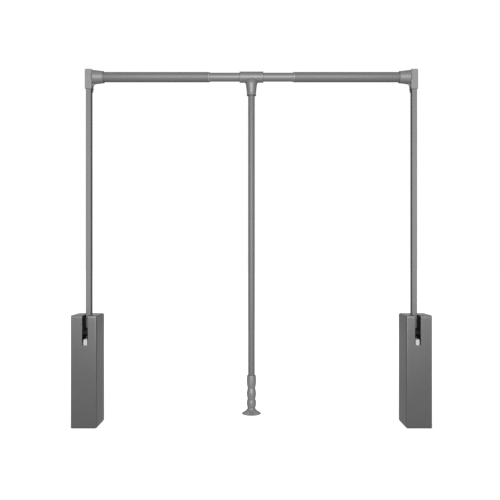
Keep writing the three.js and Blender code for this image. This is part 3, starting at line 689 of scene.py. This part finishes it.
class RAIL_OT_rails(bpy.types.Operator):
    """Telescopic hanging rail with its end rings, collar and bushes"""

    bl_idname = "rail.rails"
    bl_label = "Hanging Rail"

    def execute(self, context):
        size = context.scene.rail_frame
        metal, nylon = (size.rail_wall, size.tube_edge), (size.bush_wall, size.bush_edge)
        outer = tube_over("outer_rail", "right_outer_rail", *metal)
        settle_pair(outer, "outer_rail", "arm", "silver_paint", "silver_powder_coat", angle=30)
        inner = tube_over("inner_rail_piece", "inner_rail", *metal)
        settle(inner, ["inner_rail"], "centre_rail", "bright_tube", "anodised_aluminium", angle=30)
        settle_pair(self.end_ring(size.ring_bore), "rail_end_ring", "arm", "grip_plastic",
                    "moulded_polypropylene", angle=30)
        bush = tube_over("right_swivel_bush_piece", "right_swivel_bush", *nylon)
        for side, piece in (("right", bush), ("left", mirror_of(bush, "left_swivel_bush_piece"))):
            settle(piece, [f"{side}_swivel_bush"], "handle", "dark_nylon", "black_nylon")
        collar = tube_over("locating_collar_piece", "locating_collar", *nylon)
        settle(collar, ["locating_collar"], "centre_rail", "dark_nylon", "black_nylon")
        return {"FINISHED"}

    def end_ring(self, bore):
        """The ring on an outer rail's end, with a steep chamfer towards the inner rail."""
        low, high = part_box("right_rail_end_ring")
        widest = (high.z - low.z) / 2
        ring = turned("ring", eased([
            (bore, low.x), (widest - 0.9 * MM, low.x), (widest - 0.1 * MM, low.x + 2.2 * MM),
            (widest, high.x), (bore, high.x)], 0.4 * MM, steps=3), "x", 72)
        return moved(ring, RAIL_CENTRE)


# Handle

class RAIL_OT_connector(bpy.types.Operator):
    """Cast T connector that swivels on the rail"""

    bl_idname = "rail.connector"
    bl_label = "T Connector"

    def execute(self, context):
        size = context.scene.rail_handle
        low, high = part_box("t_connector")
        half, radius = high.x, size.tee_radius
        foot = low.z - RAIL_HEIGHT
        edge, stem_top = 0.3 * MM, -6 * MM
        rail_bore, rod_bore, rod_depth = 12.1 * MM, 8.3 * MM, 24.3 * MM
        barrel = turned("t_connector_piece", [
            (0, -half), (radius - edge, -half), (radius, -half + edge), (radius, half - edge),
            (radius - edge, half), (0, half)], "x", 96)
        # From the mouth up: lip, waist, cone, and the fillet that runs into the barrel
        stem = turned("stem", eased([
            (0, foot), (size.stem_lip - edge, foot), (size.stem_lip, foot + edge),
            (size.stem_lip - 0.1 * MM, foot + 4 * MM), (size.stem_waist, foot + 7 * MM),
            (size.stem_root, -17.2 * MM), (size.stem_root + 1.3 * MM, -14.3 * MM),
            (size.stem_root + 3.4 * MM, -12 * MM), (size.stem_root, stem_top), (0, stem_top)],
            0.8 * MM, closed=False), "z", 80)
        body = cast([barrel, stem], context.scene.rail_frame.casting_grain, 2)
        cut(body, bar("rail_bore", rail_bore, -half - OVERRUN, half + OVERRUN, "x", 72))
        cut(body, bar("rod_bore", rod_bore, foot - OVERRUN, foot + rod_depth, "z", 64))
        moved(body, RAIL_CENTRE)
        settle(body, ["t_connector"], "handle", "cast_silver", "silky_zinc_casting", angle=40)
        return {"FINISHED"}


class RAIL_OT_handle(bpy.types.Operator):
    """Pull rod and turned grip"""

    bl_idname = "rail.handle"
    bl_label = "Pull Rod and Grip"

    # Points of the grip: a share of the foot's radius, or of the way out from the neck, and a height in mm
    under_shares = ((0, 0), (0.7, 0.1), (0.93, 0.5), (0.985, 1.1))
    flare_shares = ((1.0, 27.8), (0.95, 28.6), (0.75, 30.3), (0.48, 32.8), (0.22, 35.8), (0.06, 38.6),
                    (0.0, 40.8))
    lowest_swell_shares = ((0.0, 41.3), (0.5, 45.0), (0.9, 49.5), (1.0, 53.4), (0.9, 57.4), (0.6, 60.5))
    upper_swell_shares = ((-0.05, 61.9), (0.25, 65.3), (0.8, 71.2), (1.0, 76.7), (0.85, 81.1),
                          (0.35, 85.6), (0.0, 89.2), (0.25, 92.5), (0.72, 97.4), (0.97, 102.9),
                          (1.0, 107.8), (0.95, 112.8), (0.85, 117.7), (0.78, 119.7))

    def execute(self, context):
        size = context.scene.rail_handle
        tube = context.scene.rail_frame
        low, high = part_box("pull_rod")
        radius = (high.x - low.x) / 2
        inner = radius - tube.rail_wall
        rod = turned("pull_rod_piece", eased([
            (inner, low.z), (radius, low.z), (radius, high.z), (inner, high.z)], tube.tube_edge, steps=3),
            "z", 64)
        settle(rod, ["pull_rod"], "handle", "silver_paint", "silver_powder_coat", angle=30)
        grip = turned("grip_piece", self.grip_profile(size, radius, low.z), "z", 72)
        settle(grip, ["grip"], "handle", "grip_plastic", "moulded_polypropylene", angle=25)
        return {"FINISHED"}

    def grip_profile(self, size, rod_radius, rod_end):
        """The grip's half section: foot, flare, swells and the hole that the rod stands in."""
        gap = 0.3 * MM
        foot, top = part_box("grip")[0].z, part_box("grip")[1].z
        neck, swell = size.grip_neck, size.grip_swell
        profile = [(size.grip_foot * share, foot + height * MM) for share, height in self.under_shares]
        for widest, shares in ((size.grip_foot, self.flare_shares), (swell, self.lowest_swell_shares),
                               (swell, self.upper_swell_shares)):
            profile += smooth_through([(neck + (widest - neck) * share, height * MM)
                                       for share, height in shares])
        rim, bore, seat = (rod_radius + swell) / 2, rod_radius + gap, rod_end - gap
        return profile + [(rim + 0.6 * MM, top), (bore + 0.2 * MM, top), (bore, top - 0.3 * MM),
                          (bore, seat), (0, seat)]


# Springs and fasteners, made by Geometry Nodes

def new_tree(name, inputs):
    """A geometry tree with named inputs; returns it with its input and output nodes."""
    tree = bpy.data.node_groups.new(name, "GeometryNodeTree")
    tree.interface.new_socket("Geometry", in_out="INPUT", socket_type="NodeSocketGeometry")
    for label, kind in inputs:
        tree.interface.new_socket(label, in_out="INPUT", socket_type=f"NodeSocket{kind}")
    tree.interface.new_socket("Geometry", in_out="OUTPUT", socket_type="NodeSocketGeometry")
    return tree, add(tree, "NodeGroupInput"), add(tree, "NodeGroupOutput")


def dressed(tree, given, out, shape):
    """Ends a tree: makes its instances real and gives them the finish."""
    real = add(tree, "GeometryNodeRealizeInstances", {"Geometry": shape.outputs[0]})
    painted = add(tree, "GeometryNodeSetMaterial", {
        "Geometry": real.outputs[0], "Material": given.outputs["Finish"]})
    tree.links.new(painted.outputs[0], out.inputs[0])
    return tree


def grown(name, tree, values, points=((0, 0, 0),)):
    """Runs a tree on a few points; its result is a plain mesh object."""
    seed = bpy.data.meshes.new(name)
    seed.from_pydata([tuple(p) for p in points], [], [])
    made = placed(name, seed)
    step = made.modifiers.new("Grow", "NODES")
    step.node_group = tree
    for socket in tree.interface.items_tree:
        if socket.in_out == "INPUT" and socket.name in values:
            step[socket.identifier] = values[socket.name]
    return applied(made)


def coil_tree():
    """A round wire wound along Z from the origin."""
    tree, given, out = new_tree("Coil Spring", [
        ("Mean Radius", "Float"), ("Wire Radius", "Float"), ("Turns", "Float"), ("Rise", "Float"),
        ("Finish", "Material")])
    helix = add(tree, "GeometryNodeCurveSpiral", {
        "Resolution": 32, "Rotations": given.outputs["Turns"], "Height": given.outputs["Rise"],
        "Start Radius": given.outputs["Mean Radius"], "End Radius": given.outputs["Mean Radius"]})
    wire = add(tree, "GeometryNodeCurvePrimitiveCircle", {
        "Resolution": 10, "Radius": given.outputs["Wire Radius"]})
    tube = add(tree, "GeometryNodeCurveToMesh", {
        "Curve": helix.outputs[0], "Profile Curve": wire.outputs[0], "Fill Caps": True})
    return dressed(tree, given, out, tube)


def fastener_tree():
    """One fastener at each point, all turned alike."""
    tree, given, out = new_tree("Fasteners", [
        ("Fastener", "Object"), ("Turn", "Vector"), ("Finish", "Material")])
    shape = add(tree, "GeometryNodeObjectInfo", {"Object": given.outputs["Fastener"]})
    turn = add(tree, "FunctionNodeEulerToRotation", {"Euler": given.outputs["Turn"]})
    spread = add(tree, "GeometryNodeInstanceOnPoints", {
        "Points": given.outputs["Geometry"], "Instance": shape.outputs["Geometry"],
        "Rotation": turn.outputs[0]})
    return dressed(tree, given, out, spread)


class RAIL_OT_springs(bpy.types.Operator):
    """Coiled lift springs inside the housings"""

    bl_idname = "rail.springs"
    bl_label = "Lift Springs"

    def execute(self, context):
        size = context.scene.rail_housing
        low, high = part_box("right_lift_spring")
        wire, look = size.coil_wire, "oiled_spring_wire"
        coil = grown("lift_spring", coil_tree(), {
            "Mean Radius": size.coil_radius, "Wire Radius": wire / 2, "Turns": size.coil_turns,
            "Rise": high.z - low.z - wire, "Finish": finish(look)})
        centre = middle("right_draw_nut")
        moved(outward(coil), (ARM_AXIS, centre.y, low.z + wire / 2))
        pair = settle_pair(coil, "lift_spring", "housing", "spring_steel", look)
        for spring, (side, sign) in zip(pair, SIDES):
            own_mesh(spring)
        return {"FINISHED"}


def cross_recess(obj, width, depth):
    """Cuts a cross for the driver into a head whose top is at zero."""
    slit = width * 0.28
    for across, deep in ((width, slit), (slit, width)):
        cut(obj, block("recess", (-across / 2, -deep / 2, -depth), (across / 2, deep / 2, depth)))
    return obj


class RAIL_OT_fasteners(bpy.types.Operator):
    """Cover screws, elbow screws, the handle screw and the rivets"""

    bl_idname = "rail.fasteners"
    bl_label = "Fasteners"

    # For each way a head faces: its turn from +Z, then the axis and the end of the box that it lies at
    facings = {
        "left": ((0, -QUARTER, 0), 0, 0),
        "right": ((0, QUARTER, 0), 0, 1),
        "back": ((-QUARTER, 0, 0), 1, 1),
    }

    def execute(self, context):
        cover_screw = self.screw("right_cover_screw_1", 2.1 * MM, 2 * MM, countersunk=True)
        elbow_screw = self.screw("right_elbow_screw", 3.4 * MM, 1.7 * MM)
        handle_screw = self.screw("handle_screw", 2 * MM, 1.7 * MM)
        rivet = self.rivet("right_foot_rivet_1")
        dark, zinc = ("dark_screw", "black_oxide_steel"), ("zinc_plated_steel", "zinc_plated_steel")
        sets = []
        for side, inward in (("left", "right"), ("right", "left")):
            sets += [
                (f"{side}_cover_screws", [f"{side}_cover_screw_{n}" for n in (1, 2)], f"{side}_housing",
                 cover_screw, "back", *dark),
                (f"{side}_elbow_screw_piece", [f"{side}_elbow_screw"], f"{side}_arm",
                 elbow_screw, inward, *dark),
                (f"{side}_foot_rivets", [f"{side}_foot_rivet_{n}" for n in (1, 2)], f"{side}_arm",
                 rivet, "right", *zinc),
            ]
        sets.append(("handle_screw_piece", ["handle_screw"], "handle", handle_screw, "back", *dark))
        tree = fastener_tree()
        for name, nodes, body, template, facing, slot_name, look in sets:
            turn, axis, end = self.facings[facing]
            spots = [middle(node) for node in nodes]
            for node, spot in zip(nodes, spots):
                spot[axis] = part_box(node)[end][axis]
            made = grown(name, tree, {"Fastener": template, "Turn": turn, "Finish": finish(look)}, spots)
            settle(made, nodes, body, slot_name, look, angle=30)
        for template in (cover_screw, elbow_screw, handle_screw, rivet):
            bpy.data.objects.remove(template)
        return {"FINISHED"}

    def screw(self, node, head, shank, countersunk=False):
        """A screw as long and as wide as its node, with the head's top at zero and a driver's cross."""
        low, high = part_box(node)
        _, width, reach = sorted(high - low)
        radius = width / 2
        profile = [(0, -reach), (shank, -reach), (shank, -head)]
        if countersunk:
            profile += [(radius, -0.2 * MM), (radius, 0), (0, 0)]
        else:
            profile += [(radius, -head), (radius, -head * 0.45), (radius * 0.8, -head * 0.12),
                        (radius * 0.5, 0), (0, 0)]
        made = turned("fastener", eased(profile, 0.15 * MM, steps=2, closed=False), "z", 32)
        return cross_recess(made, radius * 1.1, head * 0.6)

    def rivet(self, node):
        """A set rivet as long and as wide as its node, with its top at zero."""
        low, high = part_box(node)
        width, radius = high.x - low.x, (high.z - low.z) / 2
        profile = [(0, -width), (radius, -width), (radius, 0), (0, 0)]
        return turned("fastener", eased(profile, 0.5 * MM, steps=3, closed=False), "z", 32)


class RAIL_OT_inner_metal(bpy.types.Operator):
    """Finishes of the pieces inside the housings: plated, nylon and rubber, with painted shade on the
    channels and arm feet
    """

    bl_idname = "rail.inner_metal"
    bl_label = "Inner Pieces"

    def execute(self, context):
        inside = {
            # Painted shade: the channels are darkened so the slots look shadowed inside
            "dark_passivated_zinc": ("chassis",),
            "zinc_plated_steel": ("pivot_pin", "buffer_pin", "spring_bridge", "draw_bar", "spring_washer",
                                  "draw_nut", "crank_pin"),
            # Painted shade: the arm feet are darkened so they look shadowed in the slots
            "dip_coated_steel": ("arm_foot",),
            "black_nylon": ("inner_spacer", "outer_spacer"),
            "nitrile_rubber": ("stop_washer",),
        }
        for look, names in inside.items():
            for node in [f"{side}_{name}" for side, _ in SIDES for name in names]:
                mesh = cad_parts[node].data
                mesh.materials.clear()
                mesh.materials.append(finish(look))
        return {"FINISHED"}


# Stage

class RAIL_OT_stage(bpy.types.Operator):
    """Pale floor, soft light and the camera"""

    bl_idname = "rail.stage"
    bl_label = "Stage"

    def execute(self, context):
        scene = context.scene
        settings = scene.rail_stage
        self.floor()
        self.world(scene, settings.ambient)
        self.lamp("key", (0, -2, 0.8), (0, 0, 0.8), settings.key_power)
        self.lamp("back", (0, 1.7, 2.1), (0, 0, 0.45), settings.back_power)
        self.camera(settings)
        scene.view_settings.view_transform = "Standard"
        return {"FINISHED"}

    def camera(self, settings):
        """A level camera in front, with the photograph's field of view and framing."""
        focal_pixels, frame_pixels = 633, 500
        data = bpy.data.cameras.new("camera")
        data.sensor_width = 36
        data.lens = focal_pixels / frame_pixels * data.sensor_width
        data.shift_x, data.shift_y = -0.0029, 0.0246
        data.clip_start, data.clip_end = 0.01, 100
        camera = placed("camera", data)
        camera.location = (0, -settings.camera_distance, settings.camera_height)
        camera.rotation_euler = (QUARTER, 0, 0)
        bpy.context.scene.camera = camera

    def floor(self):
        """A white floor that keeps a faint shadow and throws little light back."""
        reach, low = 30, -0.5 * MM
        thrown_grey, shadow_grey = 0.25, 0.35
        near, far, near_glow = 0.55, 1.6, 0.82
        ground = mesh_piece("floor", [(-reach, -reach, low), (reach, -reach, low), (reach, reach, low),
                                      (-reach, reach, low)], [[0, 1, 2, 3]])
        material = bpy.data.materials.new("white_floor")
        tree = emptied(material)
        seen = self.seen(tree)
        place = add(tree, "ShaderNodeTexCoord").outputs["Object"]
        away = add(tree, "ShaderNodeVectorMath", {0: place}, operation="LENGTH").outputs["Value"]
        level = add(tree, "ShaderNodeMapRange", {
            "Value": away, "From Min": near, "From Max": far, "To Min": near_glow, "To Max": 1.0})
        matt = add(tree, "ShaderNodeBsdfDiffuse", {"Color": (thrown_grey,) * 3 + (1,)})
        lit = add(tree, "ShaderNodeBsdfDiffuse", {"Color": (shadow_grey,) * 3 + (1,)})
        glow = add(tree, "ShaderNodeEmission", {"Color": (1, 1, 1, 1), "Strength": level.outputs["Result"]})
        shown = add(tree, "ShaderNodeAddShader", {0: lit.outputs[0], 1: glow.outputs[0]})
        whole = add(tree, "ShaderNodeMixShader", {0: seen, 1: matt.outputs[0], 2: shown.outputs[0]})
        add(tree, "ShaderNodeOutputMaterial", {"Surface": whole.outputs[0]})
        ground.data.materials.append(material)

    def seen(self, tree):
        """1 for rays from the camera, reflections and what shows through glass, else 0."""
        path = add(tree, "ShaderNodeLightPath")
        two = add(tree, "ShaderNodeMath", {
            0: path.outputs["Is Camera Ray"], 1: path.outputs["Is Glossy Ray"]}, operation="MAXIMUM")
        return add(tree, "ShaderNodeMath", {
            0: two.outputs[0], 1: path.outputs["Is Transmission Ray"]}, operation="MAXIMUM").outputs[0]

    def world(self, scene, ambient):
        """An even grey light that the camera sees as white."""
        scene.world = bpy.data.worlds.new("studio")
        tree = emptied(scene.world)
        strength = add(tree, "ShaderNodeMapRange", {
            "Value": self.seen(tree), "To Min": ambient, "To Max": 1.0}).outputs["Result"]
        glow = add(tree, "ShaderNodeBackground", {"Color": (1, 1, 1, 1), "Strength": strength})
        add(tree, "ShaderNodeOutputWorld", {"Surface": glow.outputs[0]})

    def lamp(self, name, place, target, watts):
        """A soft rectangular lamp that the camera doesn't see."""
        data = bpy.data.lights.new(name, "AREA")
        data.shape = "RECTANGLE"
        data.size, data.size_y = 2, 1.4
        data.energy = watts
        lamp = placed(name, data)
        lamp.location = place
        lamp.rotation_euler = (Vector(target) - Vector(place)).to_track_quat("-Z", "Y").to_euler()
        lamp.visible_camera = False


class RAIL_PT_panel(bpy.types.Panel):
    """Lists the sizes, the colours and the steps"""

    bl_idname = "RAIL_PT_panel"
    bl_label = "Wardrobe Rail"
    bl_space_type = "VIEW_3D"
    bl_region_type = "UI"
    bl_category = "Wardrobe Rail"

    def draw(self, context):
        for group, _ in SETTINGS:
            box = self.layout.box()
            settings = getattr(context.scene, group)
            for name in settings.bl_rna.properties.keys():
                if name not in ("rna_type", "name"):
                    box.prop(settings, name)
        for step in STEPS:
            self.layout.operator(step.bl_idname)


SETTINGS = (("rail_housing", RAIL_PG_housing), ("rail_frame", RAIL_PG_frame),
            ("rail_handle", RAIL_PG_handle), ("rail_finish", RAIL_PG_finish), ("rail_stage", RAIL_PG_stage))
STEPS = (RAIL_OT_stage, RAIL_OT_covers, RAIL_OT_buffers, RAIL_OT_arms, RAIL_OT_elbows, RAIL_OT_rails,
         RAIL_OT_connector, RAIL_OT_handle, RAIL_OT_springs, RAIL_OT_fasteners, RAIL_OT_inner_metal)


def register():
    """Makes the settings, the steps and the panel known to Blender."""
    for group, kind in SETTINGS:
        bpy.utils.register_class(kind)
        setattr(bpy.types.Scene, group, bpy.props.PointerProperty(type=kind))
    for kind in STEPS + (RAIL_PT_panel,):
        bpy.utils.register_class(kind)


def unregister():
    """Takes them out again, last one first."""
    for kind in reversed(STEPS + (RAIL_PT_panel,)):
        bpy.utils.unregister_class(kind)
    for group, kind in reversed(SETTINGS):
        delattr(bpy.types.Scene, group)
        bpy.utils.unregister_class(kind)


def main():
    """Runs every step in order."""
    register()
    for step in STEPS:
        group, name = step.bl_idname.split(".")
        getattr(getattr(bpy.ops, group), name)()


if __name__ == "__main__":
    main()
